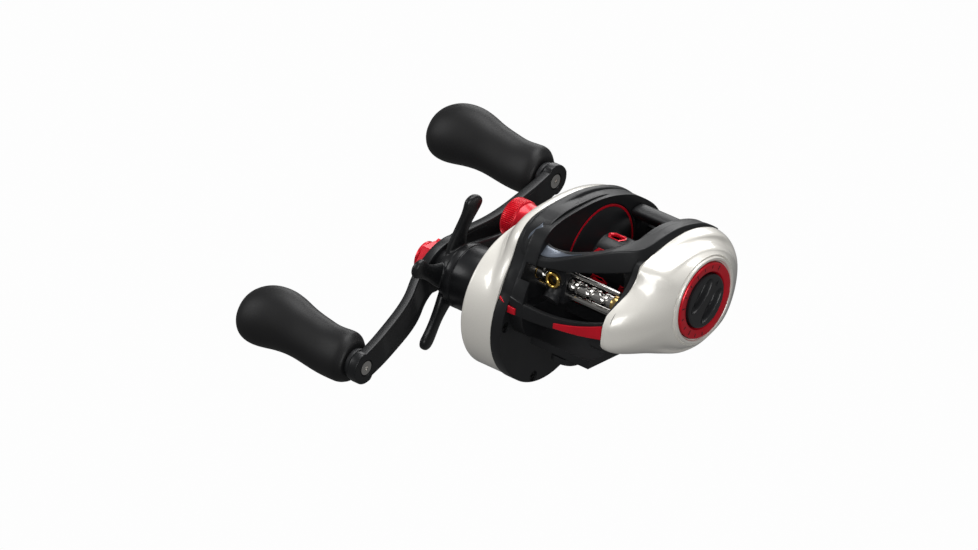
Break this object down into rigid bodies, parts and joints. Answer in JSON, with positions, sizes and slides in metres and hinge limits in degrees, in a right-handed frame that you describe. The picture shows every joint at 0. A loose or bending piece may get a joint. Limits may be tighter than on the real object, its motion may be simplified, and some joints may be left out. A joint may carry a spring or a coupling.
{
  "type": "baitcasting reel",
  "caption": "Low-profile baitcasting fishing reel with pearl white covers, black frame, red accents, star drag and twin-paddle crank handle",
  "frame": {"origin": "centre of the reel foot's underside, where it rests in the rod's reel seat", "axes": "+X along the spool shaft to the palm side with the brake dial, -Y forward to the line guide and rod tip, +Z away from the rod"},
  "size_m": [0.1234, 0.0994, 0.0611],
  "materials": {
    "frame_graphite": "satin black glass-filled nylon and painted alloy, fine texture",
    "pearl_white": "warm pearl white paint with a clear coat",
    "red_anodised": "bright red anodised aluminium, fine turning marks",
    "black_anodised": "satin black anodised aluminium",
    "knob_foam": "matte black moulded EVA grip",
    "black_nylon": "moulded black nylon",
    "black_gloss": "semi-gloss black plastic",
    "grey_inlay": "blue-grey satin paint",
    "steel": "turned stainless steel",
    "black_steel": "blackened steel fastener",
    "bare_aluminium": "thin spun aluminium",
    "brass": "machined brass",
    "copper": "copper friction disc",
    "gold": "gold-coloured hard ceramic-lined ring",
    "carbon": "woven carbon friction washer",
    "magnet_nickel": "nickel-plated magnets"
  },
  "bodies": {
    "reel_body": {"frame": "frame_graphite", "reel_foot": "frame_graphite", "foot_screws": "steel", "accent_strips": "red_anodised", "hood": "frame_graphite", "hood_insert": "grey_inlay", "gear_housing": "frame_graphite", "gear_cover": "pearl_white", "housing_screws": "black_steel", "drag_boss": "black_anodised", "yoke_posts": "steel", "yoke_springs": "steel", "pinion_bearings": "steel", "drive_shaft_bearing": "steel", "oneway_bearing": "steel", "worm_bushes": "brass", "guide_rods": "steel", "spool_bearings": "steel", "palm_side_plate": "frame_graphite", "palm_cover": "pearl_white", "dial_ring": "red_anodised"},
    "crank": {"drive_shaft": "steel", "main_gear": "brass", "drag_washers": "carbon", "drag_pressure_plate": "steel", "drag_spring_washers": "steel", "oneway_sleeve": "steel", "wind_gear": "black_nylon", "handle_arm": "black_anodised", "handle_nut": "red_anodised", "nut_retainer": "red_anodised", "retainer_screw": "black_steel", "knob_shafts": "steel", "knob_washers": "black_nylon", "star_click_ring": "black_anodised"},
    "star": {"star_drag": "black_anodised"},
    "front_knob": {"knob_front": "knob_foam", "knob_bearings_front": "steel"},
    "rear_knob": {"knob_rear": "knob_foam", "knob_bearings_rear": "steel"},
    "spool": {"spool": "black_anodised", "spool_rims": "red_anodised", "spool_shaft": "steel", "brake_rotor": "bare_aluminium"},
    "yoke": {"clutch_yoke": "black_nylon"},
    "pinion": {"pinion": "brass"},
    "cam": {"clutch_cam": "steel"},
    "thumb_bar": {"thumb_bar": "frame_graphite"},
    "worm": {"worm_shaft": "steel", "worm_gear": "black_nylon"},
    "line_guide": {"line_guide": "black_nylon", "guide_ring": "gold", "pawl_cap": "black_nylon"},
    "pawl": {"pawl": "brass"},
    "tension_knob": {"tension_knob": "red_anodised", "tension_washers": "copper"},
    "brake_dial": {"brake_dial": "black_gloss"},
    "magnet_carrier": {"magnet_carrier": "black_nylon", "brake_magnets": "magnet_nickel"}
  },
  "joints": [
    {"name": "handle_turn", "type": "hinge", "parent": "reel_body", "child": "crank", "pos_m": [-0.04, -0.016, 0.00611], "axis": [1, 0, 0], "continuous": true},
    {"name": "star_turn", "type": "hinge", "parent": "crank", "child": "star", "pos_m": [-0.05, -0.016, 0.00611], "axis": [1, 0, 0], "range_deg": [-180, 180]},
    {"name": "front_knob_turn", "type": "hinge", "parent": "crank", "child": "front_knob", "pos_m": [-0.07, -0.05742, -0.01147], "axis": [1, 0, 0], "continuous": true},
    {"name": "rear_knob_turn", "type": "hinge", "parent": "crank", "child": "rear_knob", "pos_m": [-0.07, 0.02542, 0.02369], "axis": [1, 0, 0], "continuous": true},
    {"name": "spool_turn", "type": "hinge", "parent": "reel_body", "child": "spool", "pos_m": [0, 0, 0.0215], "axis": [1, 0, 0], "continuous": true},
    {"name": "clutch_slide", "type": "slide", "parent": "reel_body", "child": "yoke", "axis": [-1, 0, 0], "range_m": [0, 0.0012], "deforming": ["yoke_springs"]},
    {"name": "pinion_turn", "type": "hinge", "parent": "yoke", "child": "pinion", "pos_m": [-0.022, 0, 0.0215], "axis": [1, 0, 0], "continuous": true},
    {"name": "cam_turn", "type": "hinge", "parent": "reel_body", "child": "cam", "pos_m": [-0.019, 0, 0.0215], "axis": [-1, 0, 0], "range_deg": [0, 15.7]},
    {"name": "thumb_press", "type": "slide", "parent": "reel_body", "child": "thumb_bar", "axis": [0, 0.5, -0.866], "range_m": [0, 0.004]},
    {"name": "worm_turn", "type": "hinge", "parent": "reel_body", "child": "worm", "pos_m": [0, -0.024, 0.0228], "axis": [1, 0, 0], "continuous": true},
    {"name": "line_guide_slide", "type": "slide", "parent": "reel_body", "child": "line_guide", "axis": [1, 0, 0], "range_m": [-0.0045, 0.015]},
    {"name": "pawl_turn", "type": "hinge", "parent": "line_guide", "child": "pawl", "pos_m": [-0.0058, -0.02644, 0.02036], "axis": [0, -0.7071, -0.7071], "range_deg": [-25, 25]},
    {"name": "tension_turn", "type": "hinge", "parent": "reel_body", "child": "tension_knob", "pos_m": [-0.04, 0, 0.0215], "axis": [1, 0, 0], "range_deg": [-180, 180]},
    {"name": "brake_dial_turn", "type": "hinge", "parent": "reel_body", "child": "brake_dial", "pos_m": [0.026, 0, 0.0215], "axis": [1, 0, 0], "range_deg": [-135, 135]},
    {"name": "magnet_slide", "type": "slide", "parent": "reel_body", "child": "magnet_carrier", "axis": [1, 0, 0], "range_m": [-0.001, 0.001]}
  ],
  "couplings": [
    {"joint": "spool_turn", "follows": "handle_turn", "ratio": -6.4},
    {"joint": "pinion_turn", "follows": "handle_turn", "ratio": -6.4},
    {"joint": "worm_turn", "follows": "handle_turn", "ratio": -2.3636},
    {"joint": "clutch_slide", "follows": "thumb_press", "ratio": 0.3},
    {"joint": "cam_turn", "follows": "thumb_press", "rad_per_m": 68.5},
    {"joint": "brake_dial_turn", "follows": "magnet_slide", "rad_per_m": 2356}
  ]
}
